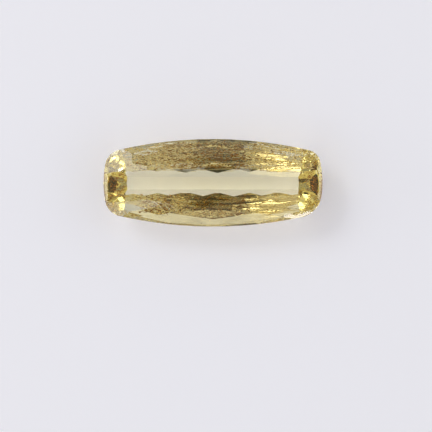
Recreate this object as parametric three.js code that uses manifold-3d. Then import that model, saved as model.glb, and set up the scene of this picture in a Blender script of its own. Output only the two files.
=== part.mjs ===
// A cut heliodor, the golden beryl: one faceted stone, a long cushion with a
// chequerboard crown over a stepped pavilion that ends in a flat keel.
// Millimetres, +Z up, +X along the stone. The origin is the centre of the keel
// facet, the face that the stone rests on.
// It is made as such a stone is cut: a blank with the girdle's outline is
// ground away by one plane for each facet.
import * as THREE from "three";
import { mergeVertices } from "three/addons/utils/BufferGeometryUtils.js";
import Module from "manifold-3d";

const wasm = await Module();
wasm.setup();

// Driving dimensions. Angles are in degrees.
const LENGTH = 24;
const WIDTH = 9.6;
const GIRDLE_THICKNESS = 0.25;
const CROWN_HEIGHT = 1.95;

// The outline from above: bulging sides and ends, joined by round corners.
const SIDE_RADIUS = 46;
const END_RADIUS = 11;
const CORNER_RADII = { northEast: 1.5, northWest: 2.0, southWest: 2.0, southEast: 2.8 };
const ARC_SEGMENTS = 6;
const WELD_DISTANCE = 0.001;

// The crown's dome: a level band along the middle that bends away on both sides.
const DOME_RADIUS_ALONG = 42;
const DOME_RADIUS_ACROSS = 4.2;
const DOME_BAND_HALF_WIDTH = 0.92;
// Its facets stand in staggered columns, which draw together towards the ends.
// They were cut by hand, so they sit a little to the east and stray in depth.
const LOZENGE_PITCH = 3.75;
const LOZENGE_TAPER = 0.06;
const LOZENGE_OFFSET = 0.5;
const LOZENGE_STRAY = 0.012;
const LOZENGE_ROW_SPACING = 0.72;
const LOZENGE_ROWS_EACH_SIDE = 3;
const LOZENGE_EDGE_MARGIN = 0.9;

// The crown's rim, from the dome down to the girdle.
const RIM_ANGLE = 38;
const RIM_AZIMUTHS = [90, 85.5, 81, 68, 48, 28, 10, 0];

// The pavilion's steps, from the girdle to the keel. A step's inset is where it
// starts, as a share of the way in from the girdle. Its slope is that of the long
// sides, and the ends are steeper because their way in is shorter.
// The keel is wide enough for the stone to rest on it without tipping to a side.
const KEEL_HALF_WIDTH = 0.7;
const KEEL_HALF_LENGTH = 9.09;
const PAVILION_STEPS = [
  { inset: 0, slope: 60, azimuths: [87, 81, 62, 36, 6] },
  { inset: 0.147, slope: 45, azimuths: [87, 45] },
  { inset: 0.451, slope: 36.8, azimuths: [90, 6] },
];

const radians = THREE.MathUtils.degToRad;
const heading = (angle) => new THREE.Vector2(Math.cos(angle), Math.sin(angle));

const SIDE_WAY_IN = WIDTH / 2 - KEEL_HALF_WIDTH;
const END_WAY_IN = LENGTH / 2 - KEEL_HALF_LENGTH;
const PAVILION_FALLS = PAVILION_STEPS.map(({ inset, slope }, step) => {
  const next = PAVILION_STEPS[step + 1]?.inset ?? 1;
  return (next - inset) * SIDE_WAY_IN * Math.tan(radians(slope));
});
const PAVILION_DEPTH = PAVILION_FALLS.reduce((sum, fall) => sum + fall);
const GIRDLE_TOP = PAVILION_DEPTH + GIRDLE_THICKNESS;
const TOTAL_HEIGHT = GIRDLE_TOP + CROWN_HEIGHT;

// Where a column of the chequerboard stands along the stone. The two columns next
// to the middle meet in a ridge, the stone's highest line, a little above the dome.
function columnPlace(column) {
  return LOZENGE_OFFSET + LOZENGE_PITCH * column * (1 - LOZENGE_TAPER * Math.abs(column));
}
const RIDGE_RISE = -columnPlace(-0.5) * columnPlace(0.5) / (2 * DOME_RADIUS_ALONG);
const DOME_TOP = TOTAL_HEIGHT - RIDGE_RISE;

// The outline's eight arcs, anticlockwise: each has a centre, a radius and two angles.
function outlineArcs() {
  const north = new THREE.Vector2(0, WIDTH / 2 - SIDE_RADIUS);
  const south = north.clone().negate();
  const east = new THREE.Vector2(LENGTH / 2 - END_RADIUS, 0);
  const west = east.clone().negate();
  const corner = (side, end, radius) => ({ radius, centre: cornerCentre(side, end, radius) });
  const northEast = corner(north, east, CORNER_RADII.northEast);
  const northWest = corner(north, west, CORNER_RADII.northWest);
  const southWest = corner(south, west, CORNER_RADII.southWest);
  const southEast = corner(south, east, CORNER_RADII.southEast);
  return [
    arcBetween(east, END_RADIUS, southEast.centre, northEast.centre),
    cornerArc(northEast, east, north),
    arcBetween(north, SIDE_RADIUS, northEast.centre, northWest.centre),
    cornerArc(northWest, north, west),
    arcBetween(west, END_RADIUS, northWest.centre, southWest.centre),
    cornerArc(southWest, west, south),
    arcBetween(south, SIDE_RADIUS, southWest.centre, southEast.centre),
    cornerArc(southEast, south, east),
  ];
}

// The centre of a corner that touches a side arc and an end arc from inside.
// The side's and the end's own centres lie across the stone from it.
function cornerCentre(side, end, radius) {
  const fromSide = SIDE_RADIUS - radius;
  const fromEnd = END_RADIUS - radius;
  const unit = end.clone().sub(side);
  const gap = unit.length();
  unit.divideScalar(gap);
  const along = (fromSide ** 2 - fromEnd ** 2 + gap ** 2) / (2 * gap);
  const across = Math.sqrt(fromSide ** 2 - along ** 2);
  const outward = Math.sign(end.x * unit.y);
  return side
    .clone()
    .addScaledVector(unit, along)
    .add(new THREE.Vector2(unit.y, -unit.x).multiplyScalar(outward * across));
}

// An arc about a centre, from the direction of one point to that of another.
function arcBetween(centre, radius, from, to) {
  const start = from.clone().sub(centre).angle();
  const sweep = THREE.MathUtils.euclideanModulo(to.clone().sub(centre).angle() - start, 2 * Math.PI);
  return { centre, radius, start, end: start + sweep };
}

// A corner's own arc lies on the far side of its centre from the arcs that it joins.
function cornerArc({ centre, radius }, before, after) {
  const start = centre.clone().sub(before).angle();
  const sweep = THREE.MathUtils.euclideanModulo(centre.clone().sub(after).angle() - start, 2 * Math.PI);
  return { centre, radius, start, end: start + sweep };
}

const ARCS = outlineArcs();

// The outline's point where its outward normal has this azimuth.
function outlineAt(azimuth) {
  const arc = ARCS.find(({ start, end }) => {
    return THREE.MathUtils.euclideanModulo(azimuth - start, 2 * Math.PI) <= end - start;
  });
  return arc.centre.clone().addScaledVector(heading(azimuth), arc.radius);
}

// A quarter's azimuths in degrees, mirrored into all four quarters, in radians.
function allQuarters(degrees) {
  const quarters = degrees.flatMap((a) => [a, 180 - a, 180 + a, 360 - a]);
  return [...new Set(quarters.map((a) => a % 360))].map(radians);
}

// The blank: the girdle's outline as a straight prism, taller than the stone.
function blank() {
  const outline = new THREE.Shape();
  for (const { centre, radius, start, end } of ARCS) {
    outline.absarc(centre.x, centre.y, radius, start, end, false);
  }
  const prism = new THREE.ExtrudeGeometry(outline, {
    depth: TOTAL_HEIGHT + CROWN_HEIGHT,
    bevelEnabled: false,
    curveSegments: ARC_SEGMENTS,
  });
  prism.deleteAttribute("normal");
  prism.deleteAttribute("uv");
  const merged = mergeVertices(prism, WELD_DISTANCE);
  return new wasm.Manifold(
    new wasm.Mesh({
      numProp: 3,
      vertProperties: merged.attributes.position.array,
      triVerts: new Uint32Array(merged.index.array),
    }),
  );
}

// Grinds one facet: all of the stone beyond the plane through a point goes.
function grind(stone, normal, point) {
  const inward = normal.clone().normalize().negate();
  return stone.trimByPlane(inward.toArray(), inward.dot(point));
}

// The chequerboard: staggered rows of facets that touch the dome.
function grindDome(stone) {
  const halfRow = Math.ceil(LENGTH / LOZENGE_PITCH);
  for (let row = -LOZENGE_ROWS_EACH_SIDE; row <= LOZENGE_ROWS_EACH_SIDE; row++) {
    const side = Math.sign(row);
    const bend = Math.abs(row) * LOZENGE_ROW_SPACING;
    const y = side * (bend + DOME_BAND_HALF_WIDTH);
    const stagger = row % 2 === 0 ? 0.5 : 0;
    for (let column = stagger - halfRow; column <= halfRow; column++) {
      const x = columnPlace(column);
      if (!insideOutline(x, y, LOZENGE_EDGE_MARGIN)) {
        continue;
      }
      const drop = x ** 2 / (2 * DOME_RADIUS_ALONG) + bend ** 2 / (2 * DOME_RADIUS_ACROSS);
      const normal = new THREE.Vector3(x / DOME_RADIUS_ALONG, (side * bend) / DOME_RADIUS_ACROSS, 1);
      stone = grind(stone, normal, new THREE.Vector3(x, y, DOME_TOP - drop - stray(row, column)));
    }
  }
  return stone;
}

// How much too deep a facet is cut: it differs from facet to facet, and it is
// nothing in the middle row.
function stray(row, column) {
  return LOZENGE_STRAY * Math.sin(2 * row) * Math.cos(2 * column + row);
}

// Whether a point lies inside the outline by at least a margin.
function insideOutline(x, y, margin) {
  const point = new THREE.Vector2(x, y);
  return ARCS.every(({ centre, radius, start, end }) => {
    const from = point.clone().sub(centre);
    const turn = THREE.MathUtils.euclideanModulo(from.angle() - start, 2 * Math.PI);
    return turn > end - start || from.length() <= radius - margin;
  });
}

// The rim: a ring of facets from the dome's edge down to the girdle.
function grindRim(stone) {
  for (const azimuth of allQuarters(RIM_AZIMUTHS)) {
    const foot = outlineAt(azimuth);
    const out = heading(azimuth).multiplyScalar(Math.sin(radians(RIM_ANGLE)));
    const normal = new THREE.Vector3(out.x, out.y, Math.cos(radians(RIM_ANGLE)));
    stone = grind(stone, normal, new THREE.Vector3(foot.x, foot.y, GIRDLE_TOP));
  }
  return stone;
}

// The pavilion: steps that grow flatter from the girdle down to the keel.
function grindPavilion(stone) {
  let height = PAVILION_DEPTH;
  PAVILION_STEPS.forEach(({ inset, azimuths }, step) => {
    const fall = PAVILION_FALLS[step];
    const next = PAVILION_STEPS[step + 1]?.inset ?? 1;
    for (const azimuth of allQuarters(azimuths)) {
      const out = heading(azimuth);
      const wayIn = Math.hypot(END_WAY_IN * out.x, SIDE_WAY_IN * out.y);
      const top = outlineAt(azimuth).addScaledVector(out, -inset * wayIn);
      const normal = new THREE.Vector3(out.x * fall, out.y * fall, -(next - inset) * wayIn);
      stone = grind(stone, normal, new THREE.Vector3(top.x, top.y, height));
    }
    height -= fall;
  });
  return stone;
}

// The stone's faces as a flat-shaded geometry.
function geometryOf(stone) {
  const { vertProperties, triVerts } = stone.getMesh();
  const indexed = new THREE.BufferGeometry();
  indexed.setAttribute("position", new THREE.BufferAttribute(vertProperties, 3));
  indexed.setIndex(new THREE.BufferAttribute(triVerts, 1));
  const flat = indexed.toNonIndexed();
  flat.computeVertexNormals();
  return flat;
}

const goldenBeryl = new THREE.MeshStandardMaterial({ color: 0xd2bf74, roughness: 0.04, metalness: 0 });
const stone = grindPavilion(grindRim(grindDome(blank())));
const heliodor = new THREE.Mesh(geometryOf(stone), goldenBeryl);
heliodor.name = "heliodor";

const part = new THREE.Group();
part.add(heliodor);
export default part;
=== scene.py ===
# %% [markdown]
# # A cut heliodor
# Heliodor is the golden kind of beryl. This one is a long cushion of about 24 mm with a chequerboard of
# lozenge facets on top, a stepped underside and a flat keel that it rests on. Its shape comes
# ready-made as a solid, so this lesson gives it what a solid lacks: see-through golden beryl, the fine
# inclusions that grew inside it, a sheet of white acrylic to lie on and the soft light of a photo tent.

# %% Load the solid stone
import math

import bmesh
import bpy
import numpy as np
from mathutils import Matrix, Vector


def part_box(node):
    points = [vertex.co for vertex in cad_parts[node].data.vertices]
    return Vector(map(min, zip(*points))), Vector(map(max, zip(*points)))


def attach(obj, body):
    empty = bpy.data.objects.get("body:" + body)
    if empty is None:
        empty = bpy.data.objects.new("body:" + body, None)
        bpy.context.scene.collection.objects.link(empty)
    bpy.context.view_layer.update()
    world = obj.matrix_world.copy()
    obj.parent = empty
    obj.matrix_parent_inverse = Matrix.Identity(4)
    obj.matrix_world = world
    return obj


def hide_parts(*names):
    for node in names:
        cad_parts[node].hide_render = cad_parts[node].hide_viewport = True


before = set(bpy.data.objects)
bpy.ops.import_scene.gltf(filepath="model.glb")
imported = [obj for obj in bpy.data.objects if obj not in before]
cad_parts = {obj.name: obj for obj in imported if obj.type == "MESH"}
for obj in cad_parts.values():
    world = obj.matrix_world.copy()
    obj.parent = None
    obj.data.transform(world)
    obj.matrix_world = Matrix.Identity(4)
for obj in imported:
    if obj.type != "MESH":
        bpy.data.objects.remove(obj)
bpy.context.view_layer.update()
MM = 0.001
stone_low, stone_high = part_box("heliodor")
stone_size = stone_high - stone_low
print("stone, mm:", [round(side / MM, 2) for side in stone_size])


# %% [markdown]
# Colours are written as the hex values that a paint program shows. Blender wants linear light, so one
# function turns them. A second small function adds a node, sets it up and links it, so that a material
# reads from top to bottom like a recipe.

# %% Two helpers for materials
def linear(hex_colour):
    """An sRGB hex colour as linear red, green, blue and a full alpha."""
    channels = [int(hex_colour[start:start + 2], 16) / 255 for start in (1, 3, 5)]
    return [c / 12.92 if c <= 0.04045 else ((c + 0.055) / 1.055) ** 2.4 for c in channels] + [1.0]


def add_node(tree, kind, inputs=None, **settings):
    """A new node. An input is a value to set or another node's socket to link."""
    node = tree.nodes.new(kind)
    for name, value in settings.items():
        setattr(node, name, value)
    for socket, value in (inputs or {}).items():
        if isinstance(value, bpy.types.NodeSocket):
            tree.links.new(value, node.inputs[socket])
        else:
            node.inputs[socket].default_value = value
    return node


print("middle grey as linear light:", [round(c, 3) for c in linear("#808080")])


# %% [markdown]
# The camera hangs almost straight over the stone on a long lens, as on a copy stand, so the outline
# shows with hardly any perspective. Its distance follows from the size of the picture: the stone's
# 24 mm cover 218 of its 432 pixels. The camera aims a little south of the stone, which then sits above
# the middle of the picture.

# %% Camera
PICTURE_PIXELS = 432
STONE_PIXELS = 218
STONE_CENTRE_PIXEL = (213, 183)
LENS_MM = 200
SENSOR_MM = 36
CAMERA_ELEVATION = math.radians(89.5)
NEAREST_SHARE = 0.05

pixel = stone_size.x / STONE_PIXELS
camera_distance = PICTURE_PIXELS * pixel * LENS_MM / SENSOR_MM
middle = (stone_low + stone_high) / 2
aim = middle + pixel * Vector((
    PICTURE_PIXELS / 2 - STONE_CENTRE_PIXEL[0],
    STONE_CENTRE_PIXEL[1] - PICTURE_PIXELS / 2,
    0,
))
towards_camera = Vector((0, -math.cos(CAMERA_ELEVATION), math.sin(CAMERA_ELEVATION)))
lens = bpy.data.cameras.new("copy_stand_camera")
lens.lens = LENS_MM
lens.sensor_width = SENSOR_MM
lens.clip_start = NEAREST_SHARE * camera_distance
camera = bpy.data.objects.new("copy_stand_camera", lens)
camera.location = aim + camera_distance * towards_camera
camera.rotation_euler = towards_camera.to_track_quat("Z", "Y").to_euler()
bpy.context.scene.collection.objects.link(camera)
bpy.context.scene.camera = camera
print("camera distance, mm:", round(camera_distance / MM))


# %% [markdown]
# The stone lies on a sheet of opal acrylic with a dim light panel under it, as gems are often shown.
# The sheet is matt and has a faint tooth from sanding. Scratches as mesh would need very many faces, so
# a fine noise gives them as a bump. The glow from below keeps the shadow faint and lights the stone's
# underside. The sheet starts a hundredth of a millimetre under the keel, because two faces in the same
# place would fight for each ray.

# %% Opal acrylic sheet
FLOOR_SIDE = 4.0
FLOOR_GAP = 0.01 * MM
TOOTH_MM = 0.15
TOOTH_HEIGHT_MM = 0.02
TOOTH_DETAIL = 2.0
TOOTH_STRENGTH = 0.05
ACRYLIC_ROUGHNESS = 0.9
ACRYLIC_GLOSS = 0.2
PANEL_LIGHT = 0.21


def sanded_opal_acrylic():
    """Opal acrylic, sanded and lit from below: an even, matt, cool white."""
    material = bpy.data.materials.new("sanded_opal_acrylic")
    material.use_nodes = True
    tree = material.node_tree
    tree.nodes.clear()
    place = add_node(tree, "ShaderNodeTexCoord")
    scratches = add_node(tree, "ShaderNodeTexNoise", {
        "Vector": place.outputs["Object"],
        "Scale": 1 / (TOOTH_MM * MM),
        "Detail": TOOTH_DETAIL,
    })
    tooth = add_node(tree, "ShaderNodeBump", {
        "Height": scratches.outputs["Fac"],
        "Strength": TOOTH_STRENGTH,
        "Distance": TOOTH_HEIGHT_MM * MM,
    })
    acrylic = add_node(tree, "ShaderNodeBsdfPrincipled", {
        "Base Color": linear("#efeef1"),
        "Roughness": ACRYLIC_ROUGHNESS,
        "Specular IOR Level": ACRYLIC_GLOSS,
        "Normal": tooth.outputs["Normal"],
        "Emission Color": linear("#d3dbff"),
        "Emission Strength": PANEL_LIGHT,
    })
    add_node(tree, "ShaderNodeOutputMaterial", {"Surface": acrylic.outputs["BSDF"]})
    return material


half = FLOOR_SIDE / 2
floor_mesh = bpy.data.meshes.new("acrylic_sheet")
floor_height = stone_low.z - FLOOR_GAP
floor_corners = ((-half, -half), (half, -half), (half, half), (-half, half))
floor_mesh.from_pydata([(x, y, floor_height) for x, y in floor_corners], [], [(0, 1, 2, 3)])
floor_mesh.materials.append(sanded_opal_acrylic())
floor = bpy.data.objects.new("acrylic_sheet", floor_mesh)
bpy.context.scene.collection.objects.link(floor)
print("sheet, m:", FLOOR_SIDE)


# %% [markdown]
# A gem shows its surroundings, so the light is half of the look. The stone stands in a photo tent, and
# each facet throws the view back to some part of it. The tent could be built of cloth and lamps, but
# the world's own light does the same and is quicker to set: its brightness is drawn by direction. Three
# small functions turn angles into the parts of a direction.

# %% Directions
def lean(degrees):
    """How far sideways a direction leans when it is this many degrees from straight up."""
    return math.sin(math.radians(degrees))


def rise(degrees):
    """How far up a direction points when it is this many degrees from straight up."""
    return math.cos(math.radians(degrees))


def direction_to(azimuth, elevation):
    """The direction of a light at this azimuth and elevation in degrees."""
    azimuth, elevation = math.radians(azimuth), math.radians(elevation)
    level = math.cos(elevation)
    return Vector((math.cos(azimuth) * level, math.sin(azimuth) * level, math.sin(elevation)))


world = bpy.data.worlds.new("photo_tent")
bpy.context.scene.world = world
world.use_nodes = True
tent = world.node_tree
tent.nodes.clear()
direction = add_node(tent, "ShaderNodeTexCoord")
axes = add_node(tent, "ShaderNodeSeparateXYZ", {"Vector": direction.outputs["Generated"]})
print("a lean of 30 degrees:", round(lean(30), 3))


# %% [markdown]
# The tent's walls are bright in the west and the east, where hardly a facet looks, and light the scene
# from there. In the north and the south they are dim, because the rows of the crown mirror them and
# would look grey. A plain skirt runs round the foot. The angles of the walls are leans from straight
# up, those of the skirt are heights above the sheet.

# %% Walls and skirt
DIM_WALL_LIGHT = 0.38
BRIGHT_WALL_LIGHT = 1.18
BRIGHT_WALL_EDGE = 30.0
BRIGHT_WALL_CORE = 50.0
SKIRT_LIGHT = 0.79
SKIRT_TOP = 37.0
SKIRT_BOTTOM = 20.0

sideways = add_node(tent, "ShaderNodeMath", {0: axes.outputs["X"]}, operation="ABSOLUTE")
walls = add_node(tent, "ShaderNodeMapRange", {
    "Value": sideways.outputs[0],
    "From Min": lean(BRIGHT_WALL_EDGE),
    "From Max": lean(BRIGHT_WALL_CORE),
    "To Min": DIM_WALL_LIGHT,
    "To Max": BRIGHT_WALL_LIGHT,
}, interpolation_type="SMOOTHSTEP")
near_foot = add_node(tent, "ShaderNodeMapRange", {
    "Value": axes.outputs["Z"],
    "From Min": lean(SKIRT_BOTTOM),
    "From Max": lean(SKIRT_TOP),
    "To Min": 1.0,
    "To Max": 0.0,
}, interpolation_type="SMOOTHSTEP")
skirt = add_node(tent, "ShaderNodeMix", {
    "Factor": near_foot.outputs[0],
    "A": walls.outputs[0],
    "B": SKIRT_LIGHT,
})
print("walls, dim and bright:", DIM_WALL_LIGHT, BRIGHT_WALL_LIGHT)


# %% [markdown]
# The roof overhead gives the gold of the stone, because many of the facets look up to it after two
# bounces inside. It is a little brighter in the west. Its cloth is cream, and so, in part, is the low
# middle of the north wall, while the rest of the tent is white.

# %% Roof and the colour of the cloth
ROOF_CORE = 22.0
ROOF_EDGE = 32.0
ROOF_WEST = -14.0
ROOF_EAST = 10.0
ROOF_WEST_LIGHT = 0.7
ROOF_EAST_LIGHT = 0.51
TENT_WHITE = "#fafafc"
ROOF_CREAM = "#fff1c4"
NORTH_CREAM = 0.6
NORTH_CREAM_EDGE = 58.0
NORTH_CREAM_CORE = 65.0

roof_light = add_node(tent, "ShaderNodeMapRange", {
    "Value": axes.outputs["X"],
    "From Min": lean(ROOF_WEST),
    "From Max": lean(ROOF_EAST),
    "To Min": ROOF_WEST_LIGHT,
    "To Max": ROOF_EAST_LIGHT,
}, interpolation_type="SMOOTHSTEP")
overhead = add_node(tent, "ShaderNodeMapRange", {
    "Value": axes.outputs["Z"],
    "From Min": rise(ROOF_EDGE),
    "From Max": rise(ROOF_CORE),
}, interpolation_type="SMOOTHSTEP")
roof = add_node(tent, "ShaderNodeMix", {
    "Factor": overhead.outputs[0],
    "A": skirt.outputs[0],
    "B": roof_light.outputs[0],
})
north_wall = add_node(tent, "ShaderNodeMapRange", {
    "Value": axes.outputs["Y"],
    "From Min": lean(NORTH_CREAM_EDGE),
    "From Max": lean(NORTH_CREAM_CORE),
    "To Max": NORTH_CREAM,
}, interpolation_type="SMOOTHSTEP")
creamy = add_node(tent, "ShaderNodeMath", {
    0: overhead.outputs[0],
    1: north_wall.outputs[0],
}, operation="ADD", use_clamp=True)
dye = add_node(tent, "ShaderNodeMix", {
    "Factor": creamy.outputs[0],
    "A": linear(TENT_WHITE),
    "B": linear(ROOF_CREAM),
}, data_type="RGBA")
print("roof, west and east:", ROOF_WEST_LIGHT, ROOF_EAST_LIGHT)


# %% [markdown]
# A skylight in the western part of the roof is the brightest part of the tent's cloth. It gives
# the blaze at the stone's upper right. A round spot is drawn by how closely a direction agrees with
# that of its middle.

# %% Skylight
SKYLIGHT_AZIMUTH = 213.0
SKYLIGHT_ELEVATION = 74.0
SKYLIGHT_CORE = 5.0
SKYLIGHT_EDGE = 11.0
SKYLIGHT_LIGHT = 2.0

towards_skylight = add_node(tent, "ShaderNodeVectorMath", {
    0: direction.outputs["Generated"],
    1: direction_to(SKYLIGHT_AZIMUTH, SKYLIGHT_ELEVATION),
}, operation="DOT_PRODUCT")
skylight = add_node(tent, "ShaderNodeMapRange", {
    "Value": towards_skylight.outputs["Value"],
    "From Min": rise(SKYLIGHT_EDGE),
    "From Max": rise(SKYLIGHT_CORE),
    "To Max": SKYLIGHT_LIGHT,
}, interpolation_type="SMOOTHSTEP")
cloth = add_node(tent, "ShaderNodeMath", {
    0: roof.outputs[0],
    1: skylight.outputs[0],
}, operation="ADD")
print("skylight, brightness:", SKYLIGHT_LIGHT)


# %% [markdown]
# The arm of the copy stand crosses the roof from north to south as a dark bar. The lozenges about the
# middle of the stone look up to it and are dark. The bar is soft at its edges and ends, as a thing
# behind cloth is.

# %% Dark bar
BAR_MIDDLE = -1.3
BAR_CORE = 4.0
BAR_EDGE = 9.5
BAR_ENDS = (38.0, 50.0)
BAR_LIGHT = 0.07

from_bar = add_node(tent, "ShaderNodeMath", {
    0: axes.outputs["X"],
    1: lean(BAR_MIDDLE),
}, operation="SUBTRACT")
off_bar = add_node(tent, "ShaderNodeMath", {0: from_bar.outputs[0]}, operation="ABSOLUTE")
across = add_node(tent, "ShaderNodeMapRange", {
    "Value": off_bar.outputs[0],
    "From Min": lean(BAR_CORE),
    "From Max": lean(BAR_EDGE),
    "To Min": 1.0,
    "To Max": 0.0,
}, interpolation_type="SMOOTHSTEP")
lengthways = add_node(tent, "ShaderNodeMath", {0: axes.outputs["Y"]}, operation="ABSOLUTE")
along = add_node(tent, "ShaderNodeMapRange", {
    "Value": lengthways.outputs[0],
    "From Min": lean(BAR_ENDS[0]),
    "From Max": lean(BAR_ENDS[1]),
    "To Min": 1.0,
    "To Max": 0.0,
}, interpolation_type="SMOOTHSTEP")
bar = add_node(tent, "ShaderNodeMath", {
    0: across.outputs[0],
    1: along.outputs[0],
}, operation="MULTIPLY")
shade = add_node(tent, "ShaderNodeMapRange", {
    "Value": bar.outputs[0],
    "To Min": 1.0,
    "To Max": BAR_LIGHT,
})
shaded = add_node(tent, "ShaderNodeMath", {
    0: cloth.outputs[0],
    1: shade.outputs[0],
}, operation="MULTIPLY")
print("light left by the bar:", BAR_LIGHT)


# %% [markdown]
# A ring light sits round the lens, straight overhead, in front of the bar. The ends of the stone look
# up to it and would be darker without it. With it the tent is complete, and its brightness and the
# colour of its cloth go to the world.

# %% Ring light
RING_CORE = 4.0
RING_EDGE = 7.0
RING_LIGHT = 0.7

ring = add_node(tent, "ShaderNodeMapRange", {
    "Value": axes.outputs["Z"],
    "From Min": rise(RING_EDGE),
    "From Max": rise(RING_CORE),
    "To Max": RING_LIGHT,
}, interpolation_type="SMOOTHSTEP")
all_light = add_node(tent, "ShaderNodeMath", {
    0: shaded.outputs[0],
    1: ring.outputs[0],
}, operation="ADD")
glow = add_node(tent, "ShaderNodeBackground", {
    "Color": dye.outputs["Result"],
    "Strength": all_light.outputs[0],
})
add_node(tent, "ShaderNodeOutputWorld", {"Surface": glow.outputs["Background"]})
print("tent nodes:", len(tent.nodes))


# %% [markdown]
# Lamps shine in through the cloth. A big one in the north-west makes the soft shadow to the lower
# right, and a small one stands in the south-west. The western corners mirror these two and look
# whitish. Low strips in the west and the east draw a pale line along the rim of each end. Two tiny
# lamps stand at the very edge of what a facet mirrors to the camera, so each makes a broken white glint
# and not a white facet.

# %% Lamps
LAMP_DISTANCE = 0.6


def lamp(name, azimuth, elevation, width, height, brightness, colour="#ffffff"):
    """A flat lamp that faces the stone, as bright as a white surface times the brightness."""
    towards = direction_to(azimuth, elevation)
    light = bpy.data.lights.new(name, "AREA")
    light.shape = "RECTANGLE"
    light.size = width
    light.size_y = height
    light.energy = brightness * math.pi * width * height
    light.color = linear(colour)[:3]
    made = bpy.data.objects.new(name, light)
    made.location = LAMP_DISTANCE * towards
    made.rotation_euler = towards.to_track_quat("Z", "Y").to_euler()
    bpy.context.scene.collection.objects.link(made)
    print(name, "watts:", round(light.energy, 2))


lamp("north_west", azimuth=138, elevation=46, width=0.24, height=0.24, brightness=3.2, colour="#f6faff")
lamp("west_spark", azimuth=143.2, elevation=50.6, width=0.04, height=0.04, brightness=14.0)
lamp("south_west", azimuth=235.6, elevation=45, width=0.12, height=0.12, brightness=2.0)
lamp("west_strip", azimuth=180, elevation=15, width=0.3, height=0.1, brightness=2.6)
lamp("east_strip", azimuth=0, elevation=15, width=0.3, height=0.1, brightness=2.0)
lamp("south_spark", azimuth=-67.4, elevation=31.7, width=0.03, height=0.03, brightness=10.0)


# %% [markdown]
# Light crosses many facets before it leaves a gem, so it needs more bounces than a room does, and light
# that comes through the stone has to reach the sheet beneath. The plain view transform keeps the
# sheet's white and the beryl's gold as the numbers give them.

# %% Light paths
GEM_BOUNCES = 32
FIREFLY_LIMIT = 6.0

scene = bpy.context.scene
scene.view_settings.view_transform = "Standard"
paths = scene.cycles
paths.max_bounces = GEM_BOUNCES
paths.transmission_bounces = GEM_BOUNCES
paths.glossy_bounces = GEM_BOUNCES
paths.caustics_refractive = True
paths.caustics_reflective = True
paths.blur_glossy = 0.0
paths.sample_clamp_indirect = FIREFLY_LIMIT
print("bounces:", paths.max_bounces)


# %% [markdown]
# Beryl is a clear crystal with an index of about 1.575, polished on a lap until it shines. The gold of
# a heliodor isn't on its surface: iron in the crystal soaks up blue light on the way through, and a
# little green. So the surface is colourless and the colour is an absorption inside, which makes long
# ways through the stone darker and browner, as in the real one. A lap leaves faint differences in
# polish and a low swell on each facet, drawn here as patches of roughness and as a bump. The girdle
# round the stone is only ground.

# %% Golden beryl
BERYL_IOR = 1.575
BERYL_TINT = "#f5ec96"
BERYL_DENSITY = 70.0
POLISH_PATCH_MM = 0.8
POLISH_DETAIL = 3.0
SMOOTH_BELOW = 0.4
ROUGH_ABOVE = 0.8
LAP_SWELL_MM = 2.0
LAP_SWELL_HEIGHT_MM = 0.012
LAP_SWELL_DETAIL = 0.0


def golden_beryl(name, smoothest, roughest):
    """Golden beryl: clear, yellow only by the depth of it, with a polish between two roughnesses."""
    material = bpy.data.materials.new(name)
    material.use_nodes = True
    tree = material.node_tree
    tree.nodes.clear()
    place = add_node(tree, "ShaderNodeTexCoord")
    patches = add_node(tree, "ShaderNodeTexNoise", {
        "Vector": place.outputs["Object"],
        "Scale": 1 / (POLISH_PATCH_MM * MM),
        "Detail": POLISH_DETAIL,
    })
    polish = add_node(tree, "ShaderNodeMapRange", {
        "Value": patches.outputs["Fac"],
        "From Min": SMOOTH_BELOW,
        "From Max": ROUGH_ABOVE,
        "To Min": smoothest,
        "To Max": roughest,
    })
    swells = add_node(tree, "ShaderNodeTexNoise", {
        "Vector": place.outputs["Object"],
        "Scale": 1 / (LAP_SWELL_MM * MM),
        "Detail": LAP_SWELL_DETAIL,
    })
    rounding = add_node(tree, "ShaderNodeBump", {
        "Height": swells.outputs["Fac"],
        "Distance": LAP_SWELL_HEIGHT_MM * MM,
    })
    beryl = add_node(tree, "ShaderNodeBsdfPrincipled", {
        "Base Color": linear("#ffffff"),
        "Roughness": polish.outputs["Result"],
        "IOR": BERYL_IOR,
        "Transmission Weight": 1.0,
        "Normal": rounding.outputs["Normal"],
    })
    depth = add_node(tree, "ShaderNodeVolumeAbsorption", {
        "Color": linear(BERYL_TINT),
        "Density": BERYL_DENSITY,
    })
    add_node(tree, "ShaderNodeOutputMaterial", {
        "Surface": beryl.outputs["BSDF"],
        "Volume": depth.outputs["Volume"],
    })
    return material


# The facets are polished on a lap: glassy.
polished_beryl = golden_beryl("polished_golden_beryl", smoothest=0.0, roughest=0.05)
# The girdle is only ground round: frosted, so that it shows as a pale line.
ground_beryl = golden_beryl("ground_golden_beryl", smoothest=0.5, roughest=0.7)
print("absorbed per mm:", [round(BERYL_DENSITY * (1 - c) * MM, 4) for c in linear(BERYL_TINT)[:3]])


# %% [markdown]
# The solid comes as triangles, but a gem's facets are whole polygons that meet at sharp edges. A copy
# of the solid has the flat triangles of each facet joined, and it is shaded flat, so that every facet
# is one mirror.

# %% Stone
FLAT_ENOUGH = math.radians(0.05)
WELD_MM = 0.002
GIRDLE_UPRIGHT = 0.05

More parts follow.
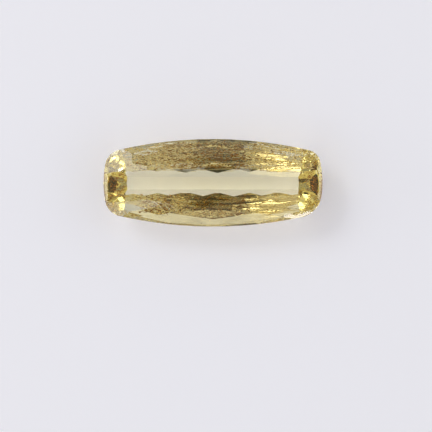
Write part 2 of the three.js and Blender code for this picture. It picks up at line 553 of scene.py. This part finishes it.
facets = bmesh.new()
facets.from_mesh(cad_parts["heliodor"].data)
bmesh.ops.remove_doubles(facets, verts=facets.verts, dist=WELD_MM * MM)
bmesh.ops.dissolve_limit(facets, angle_limit=FLAT_ENOUGH, verts=facets.verts, edges=facets.edges)
for facet in facets.faces:
    facet.smooth = False
    facet.material_index = int(abs(facet.normal.z) < GIRDLE_UPRIGHT)
stone_mesh = bpy.data.meshes.new("cut_stone")
facets.to_mesh(stone_mesh)
facets.free()
stone_mesh.materials.append(polished_beryl)
stone_mesh.materials.append(ground_beryl)
stone = bpy.data.objects.new("cut_stone", stone_mesh)
bpy.context.scene.collection.objects.link(stone)
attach(stone, "root")
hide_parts("heliodor")
print("facets:", len(stone_mesh.polygons))


# %% [markdown]
# Beryl grows as long prisms, and so do the faults in it: hollow tubes along its length, veils of tiny
# flecks of liquid where a crack healed, and rusty specks of iron oxide. They lie thickest in the north
# half of this stone and give it a grainy gold look. To place them, the stone is read as a set of
# planes: a point is inside if it lies behind all of them.

# %% Where the stone is
def stone_planes(mesh):
    """The outward normals of the stone's facets and each facet's distance from the origin."""
    normals = np.array([facet.normal for facet in mesh.polygons])
    centres = np.array([facet.center for facet in mesh.polygons])
    return normals, np.sum(normals * centres, axis=1)


facet_normals, facet_offsets = stone_planes(stone_mesh)


def depth_inside(points):
    """How far each point lies inside the stone, which is negative outside it."""
    return np.min(facet_offsets - points @ facet_normals.T, axis=1)


def inside_at(place, share):
    """Points at these places, at a share of the way from the stone's underside up to its crown."""
    level = np.abs(facet_normals[:, 2]) > GIRDLE_UPRIGHT
    normals, offsets = facet_normals[level], facet_offsets[level]
    heights = (offsets - place @ normals[:, :2].T) / normals[:, 2]
    under = np.max(np.where(normals[:, 2] < 0, heights, -np.inf), axis=1)
    over = np.min(np.where(normals[:, 2] > 0, heights, np.inf), axis=1)
    return np.column_stack([place, under + share * (over - under)])


print("middle of the stone, mm:", inside_at(np.zeros((1, 2)), np.array([0.5]))[0] / MM)


# %% [markdown]
# Thousands of small things are best made as one mesh from arrays. Each fleck is a tiny eight-sided
# crystal, stretched along the stone and turned a little at random. One function places copies of a
# shape: it scales, turns and shifts all their corners in one go, and leaves out those that come too
# close to a facet. Two more draw the sizes, places and angles by chance, the same on every run.

# %% Many small things as one mesh
FLECK_CORNERS = np.array([(1, 0, 0), (-1, 0, 0), (0, 1, 0), (0, -1, 0), (0, 0, 1), (0, 0, -1)], float)
FLECK_FACES = np.array([
    (0, 2, 4), (2, 1, 4), (1, 3, 4), (3, 0, 4), (2, 0, 5), (1, 2, 5), (3, 1, 5), (0, 3, 5),
])
FLECK = (FLECK_CORNERS, FLECK_FACES)
CLEAR_OF_SURFACE = 0.03 * MM
chance = np.random.default_rng(7)


def turned(corners, turn, tilt):
    """Corners turned about the upright axis and then tilted about the long one."""
    x = corners[..., 0] * np.cos(turn) - corners[..., 1] * np.sin(turn)
    y = corners[..., 0] * np.sin(turn) + corners[..., 1] * np.cos(turn)
    z = corners[..., 2]
    tilted_y = y * np.cos(tilt) - z * np.sin(tilt)
    tilted_z = y * np.sin(tilt) + z * np.cos(tilt)
    return np.stack([x, tilted_y, tilted_z], axis=-1)


def scattered(name, shape, centres, half_sizes, turn, tilt, material):
    """One piece made of many copies of a shape, all of them inside the stone."""
    shape_corners, shape_faces = shape
    sized = shape_corners * half_sizes[:, None, :]
    corners = turned(sized, turn[:, None], tilt[:, None]) + centres[:, None, :]
    depth = depth_inside(corners.reshape(-1, 3)).reshape(len(centres), -1).min(axis=1)
    corners = corners[depth > CLEAR_OF_SURFACE]
    first = len(shape_corners) * np.arange(len(corners))
    faces = (shape_faces + first[:, None, None]).reshape(-1, 3)
    mesh = bpy.data.meshes.new(name)
    mesh.from_pydata(corners.reshape(-1, 3).tolist(), [], faces.tolist())
    mesh.materials.append(material)
    piece = bpy.data.objects.new(name, mesh)
    bpy.context.scene.collection.objects.link(piece)
    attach(piece, "root")
    print(name, "copies:", len(corners), "triangles:", len(faces))


def spread(count, *ranges):
    """Random sizes or places in millimetres, one column for each range of least and most."""
    return np.stack([chance.uniform(low, high, count) for low, high in ranges], axis=1) * MM


def angles(count, middle_angle, stray):
    """Random angles that stray about a middle one, given in degrees and returned in radians."""
    return chance.normal(math.radians(middle_angle), math.radians(stray), count)


print("triangles in a fleck:", len(FLECK_FACES))


# %% [markdown]
# The veil's flecks are drops of brine with a golden film of iron. They are clear, but bend and tint the
# light, so they glitter where the light is strong and look brown elsewhere. The same liquid fills the
# growth tubes further on.

# %% Liquid
LIQUID_IOR = 1.5
FILM_PATCH_MM = 0.2
CLOUDIEST = 0.3


def stained_liquid():
    """Brine sealed in beryl, with a film of iron: clear golden drops that bend the light."""
    material = bpy.data.materials.new("stained_liquid")
    material.use_nodes = True
    tree = material.node_tree
    tree.nodes.clear()
    place = add_node(tree, "ShaderNodeTexCoord")
    film = add_node(tree, "ShaderNodeTexNoise", {
        "Vector": place.outputs["Object"],
        "Scale": 1 / (FILM_PATCH_MM * MM),
    })
    cloudy = add_node(tree, "ShaderNodeMapRange", {
        "Value": film.outputs["Fac"],
        "To Min": 0.0,
        "To Max": CLOUDIEST,
    })
    stain = add_node(tree, "ShaderNodeMix", {
        "Factor": film.outputs["Fac"],
        "A": linear("#fff6d2"),
        "B": linear("#d2ba62"),
    }, data_type="RGBA")
    drop = add_node(tree, "ShaderNodeBsdfPrincipled", {
        "Base Color": stain.outputs["Result"],
        "Roughness": cloudy.outputs["Result"],
        "IOR": LIQUID_IOR,
        "Transmission Weight": 1.0,
    })
    add_node(tree, "ShaderNodeOutputMaterial", {"Surface": drop.outputs["BSDF"]})
    return material


liquid = stained_liquid()
print("material:", liquid.name)


# %% [markdown]
# The healed crack runs along the north half in two stretches. Its flecks lie in the upper part of the
# stone and lean to the side, as the crack did. Here and below, places and half sizes are in
# millimetres, along, across and upright, and a share tells how high a fleck lies between the underside
# and the crown.

# %% Healed veil
WEST_VEIL = 450
EAST_VEIL = 400
WEST_VEIL_ALONG = (-11, -1.5)
EAST_VEIL_ALONG = (3.5, 11)
VEIL_ACROSS = (1.4, 3.8)
VEIL_SHARE = (0.4, 0.95)
VEIL_HALF_SIZES = ((0.07, 0.18), (0.04, 0.09), (0.03, 0.05))

veil_place = np.concatenate([
    spread(WEST_VEIL, WEST_VEIL_ALONG, VEIL_ACROSS),
    spread(EAST_VEIL, EAST_VEIL_ALONG, VEIL_ACROSS),
])
VEIL_FLECKS = len(veil_place)
scattered(
    "healed_veil",
    FLECK,
    inside_at(veil_place, chance.uniform(*VEIL_SHARE, VEIL_FLECKS)),
    spread(VEIL_FLECKS, *VEIL_HALF_SIZES),
    turn=angles(VEIL_FLECKS, middle_angle=0, stray=12),
    tilt=angles(VEIL_FLECKS, middle_angle=20, stray=15),
    material=liquid,
)


# %% [markdown]
# Other specks are solid and opaque, so a plain dull surface does for them. One function makes such a
# mineral from its palest and its darkest colour, which change over in patches.

# %% Grains of other minerals
GRAIN_PATCH_MM = 0.4
GRAIN_ROUGHNESS = 0.7


def dull_mineral(name, palest, darkest):
    """Fine grains of an opaque mineral: no shine, in patches of two tones."""
    material = bpy.data.materials.new(name)
    material.use_nodes = True
    tree = material.node_tree
    tree.nodes.clear()
    place = add_node(tree, "ShaderNodeTexCoord")
    patches = add_node(tree, "ShaderNodeTexNoise", {
        "Vector": place.outputs["Object"],
        "Scale": 1 / (GRAIN_PATCH_MM * MM),
    })
    colour = add_node(tree, "ShaderNodeMix", {
        "Factor": patches.outputs["Fac"],
        "A": linear(palest),
        "B": linear(darkest),
    }, data_type="RGBA")
    grain = add_node(tree, "ShaderNodeBsdfPrincipled", {
        "Base Color": colour.outputs["Result"],
        "Roughness": GRAIN_ROUGHNESS,
    })
    add_node(tree, "ShaderNodeOutputMaterial", {"Surface": grain.outputs["BSDF"]})
    return material


# Limonite, the earthy rust that seeps into cracks: golden brown and dark brown.
limonite = dull_mineral("limonite", palest="#b9841c", darkest="#523607")
# Feldspar that grew next to the beryl: cream, and tan where iron got in.
feldspar = dull_mineral("feldspar", palest="#fff6d2", darkest="#c8ac62")
# A feather is a crack with air in it: it throws the light back and looks white.
feather = dull_mineral("feather", palest="#f6f0dc", darkest="#d8cca0")
# Goethite, the yellow-brown of ochre: paler than limonite.
ochre = dull_mineral("ochre", palest="#c98f35", darkest="#8a5a1c")
print("minerals:", [mineral.name for mineral in (limonite, feldspar, feather, ochre)])


# %% [markdown]
# The rust lies all along the north half, thickest about the middle and close under the crown there, and
# one patch of it lies in the south, left of the middle. Three groups of specks, each with its own place
# and height, give this.

# %% Rusty specks
NORTH_RUST = 650
NORTH_RUST_PLACE = ((-11, 11), (1.35, 4.4))
NORTH_RUST_REACH = 4.5
NORTH_RUST_SHARE = (0.1, 0.9)
MIDDLE_RUST = 550
MIDDLE_RUST_PLACE = ((-5, 3.5), (1.5, 4.2))
MIDDLE_RUST_SHARE = (0.7, 0.95)
SOUTH_RUST = 150
SOUTH_RUST_PLACE = ((-8.0, -4.4), (-3.2, -1.3))
SOUTH_RUST_SHARE = (0.5, 0.95)
RUST_HALF_SIZES = ((0.06, 0.25), (0.03, 0.07), (0.015, 0.03))

rust_place = np.concatenate([
    spread(NORTH_RUST, *NORTH_RUST_PLACE),
    spread(MIDDLE_RUST, *MIDDLE_RUST_PLACE),
    spread(SOUTH_RUST, *SOUTH_RUST_PLACE),
])
# Along the stone the even spread of the northern specks is replaced by one that thins out to both ends.
rust_place[:NORTH_RUST, 0] = chance.normal(0, NORTH_RUST_REACH, NORTH_RUST) * MM
rust_share = np.concatenate([
    chance.uniform(*NORTH_RUST_SHARE, NORTH_RUST),
    chance.uniform(*MIDDLE_RUST_SHARE, MIDDLE_RUST),
    chance.uniform(*SOUTH_RUST_SHARE, SOUTH_RUST),
])
RUST_SPECKS = len(rust_place)
scattered(
    "rusty_specks",
    FLECK,
    inside_at(rust_place, rust_share),
    spread(RUST_SPECKS, *RUST_HALF_SIZES),
    turn=angles(RUST_SPECKS, middle_angle=0, stray=15),
    tilt=angles(RUST_SPECKS, middle_angle=10, stray=15),
    material=limonite,
)


# %% [markdown]
# Between them lie pale grains of feldspar. They catch the light and stand out in the dark parts of the
# stone. They are long and thin, so that they read as streaks along it.

# %% Pale grains
WEST_GRAINS = 340
EAST_GRAINS = 260
WEST_GRAINS_ALONG = (-11, -2)
EAST_GRAINS_ALONG = (4.5, 11)
GRAINS_ACROSS = (1.4, 4.4)
GRAINS_SHARE = (0.1, 0.95)
GRAIN_HALF_SIZES = ((0.08, 0.4), (0.02, 0.05), (0.01, 0.02))

grain_place = np.concatenate([
    spread(WEST_GRAINS, WEST_GRAINS_ALONG, GRAINS_ACROSS),
    spread(EAST_GRAINS, EAST_GRAINS_ALONG, GRAINS_ACROSS),
])
PALE_GRAINS = len(grain_place)
scattered(
    "pale_grains",
    FLECK,
    inside_at(grain_place, chance.uniform(*GRAINS_SHARE, PALE_GRAINS)),
    spread(PALE_GRAINS, *GRAIN_HALF_SIZES),
    turn=angles(PALE_GRAINS, middle_angle=0, stray=8),
    tilt=angles(PALE_GRAINS, middle_angle=0, stray=20),
    material=feldspar,
)


# %% [markdown]
# A feather is a crack that opened after the crystal grew. This one shows as a few white wisps, side by
# side, under the crown in the south-west. Each wisp is a row of flakes along a curve, because a whole
# sheet would hide what is behind it. Loose flakes make the two western corners cloudy.

# %% Feather
WISPS = 3
FLAKES_PER_WISP = 90
FIRST_WISP = (-6.7, -2.0)
NEXT_WISP = (0.75, -0.1)
WISP_REACH = (1.2, -0.75)
WISP_BEND = 1.5
WISP_STRAY = (-0.04, 0.04)
CORNER_FLAKES = 260
NORTH_CORNER_PLACE = ((-11.8, -10.2), (1.1, 3.2))
SOUTH_CORNER_PLACE = ((-11.6, -9.9), (-3.8, -2.0))
FLAKES_SHARE = (0.8, 0.95)
FLAKE_HALF_SIZES = ((0.05, 0.12), (0.02, 0.04), (0.01, 0.02))

wisp = np.repeat(np.arange(WISPS), FLAKES_PER_WISP)
along_wisp = chance.uniform(0, 1, len(wisp))
wisp_x = FIRST_WISP[0] + NEXT_WISP[0] * wisp + WISP_REACH[0] * along_wisp
wisp_y = FIRST_WISP[1] + NEXT_WISP[1] * wisp + WISP_REACH[1] * along_wisp ** WISP_BEND
flake_place = np.concatenate([
    MM * np.column_stack([wisp_x, wisp_y]) + spread(len(wisp), WISP_STRAY, WISP_STRAY),
    spread(CORNER_FLAKES, *NORTH_CORNER_PLACE),
    spread(CORNER_FLAKES, *SOUTH_CORNER_PLACE),
])
FLAKES = len(flake_place)
scattered(
    "feather",
    FLECK,
    inside_at(flake_place, chance.uniform(*FLAKES_SHARE, FLAKES)),
    spread(FLAKES, *FLAKE_HALF_SIZES),
    turn=angles(FLAKES, middle_angle=-35, stray=15),
    tilt=angles(FLAKES, middle_angle=0, stray=20),
    material=feather,
)


# %% [markdown]
# Both ends of the stone reach into the stained skin of the crystal that it was cut from. There specks
# of ochre lie close above the end facets and turn the gold brown. The west end has two groups of them,
# the east end one.

# %% Stained ends
WEST_STAIN = 110
EAST_STAIN = 120
UPPER_WEST_PLACE = ((-11.3, -9.45), (0.15, 1.1))
LOWER_WEST_PLACE = ((-11.1, -9.35), (-1.3, -0.2))
EAST_PLACE = ((9.9, 10.9), (-0.9, 0.8))
STAIN_SHARE = (0.02, 0.12)
STAIN_HALF_SIZES = ((0.04, 0.12), (0.02, 0.06), (0.01, 0.02))

stain_place = np.concatenate([
    spread(WEST_STAIN, *UPPER_WEST_PLACE),
    spread(WEST_STAIN, *LOWER_WEST_PLACE),
    spread(EAST_STAIN, *EAST_PLACE),
])
STAIN_SPECKS = len(stain_place)
scattered(
    "stained_ends",
    FLECK,
    inside_at(stain_place, chance.uniform(*STAIN_SHARE, STAIN_SPECKS)),
    spread(STAIN_SPECKS, *STAIN_HALF_SIZES),
    turn=angles(STAIN_SPECKS, middle_angle=0, stray=20),
    tilt=angles(STAIN_SPECKS, middle_angle=0, stray=20),
    material=ochre,
)


# %% [markdown]
# Growth tubes are hair-thin channels along the crystal, closed at both ends and full of brine. They
# show as fine streaks along the stone. Each is a six-sided needle with two points, which has few faces
# and is too thin to show them.

# %% Growth tubes
TUBE_SIDES = 6
TUBE_SHOULDER = 0.85
NORTH_TUBES = 130
NORTH_TUBES_PLACE = ((-9, 9), (1.2, 4.3))
SOUTH_TUBES = 40
SOUTH_TUBES_PLACE = ((5, 10), (-4.0, -1.4))
TUBES_SHARE = (0.05, 0.9)
TUBE_HALF_SIZES = ((0.6, 2.6), (0.015, 0.035), (0.015, 0.035))


def needle():
    """A six-sided needle along X with two points, as corners and triangles."""
    corner_angles = 2 * math.pi * np.arange(TUBE_SIDES) / TUBE_SIDES
    rings = [
        np.column_stack([np.full(TUBE_SIDES, x), np.cos(corner_angles), np.sin(corner_angles)])
        for x in (-TUBE_SHOULDER, TUBE_SHOULDER)
    ]
    corners = np.concatenate([*rings, [(-1, 0, 0), (1, 0, 0)]])
    west_tip, east_tip = 2 * TUBE_SIDES, 2 * TUBE_SIDES + 1
    faces = []
    for side in range(TUBE_SIDES):
        after = (side + 1) % TUBE_SIDES
        faces += [
            (side, after, side + TUBE_SIDES),
            (after, after + TUBE_SIDES, side + TUBE_SIDES),
            (after, side, west_tip),
            (side + TUBE_SIDES, after + TUBE_SIDES, east_tip),
        ]
    return corners, np.array(faces)


tube_place = np.concatenate([
    spread(NORTH_TUBES, *NORTH_TUBES_PLACE),
    spread(SOUTH_TUBES, *SOUTH_TUBES_PLACE),
])
TUBES = len(tube_place)
scattered(
    "growth_tubes",
    needle(),
    inside_at(tube_place, chance.uniform(*TUBES_SHARE, TUBES)),
    spread(TUBES, *TUBE_HALF_SIZES),
    turn=angles(TUBES, middle_angle=0, stray=2),
    tilt=angles(TUBES, middle_angle=0, stray=2),
    material=liquid,
)
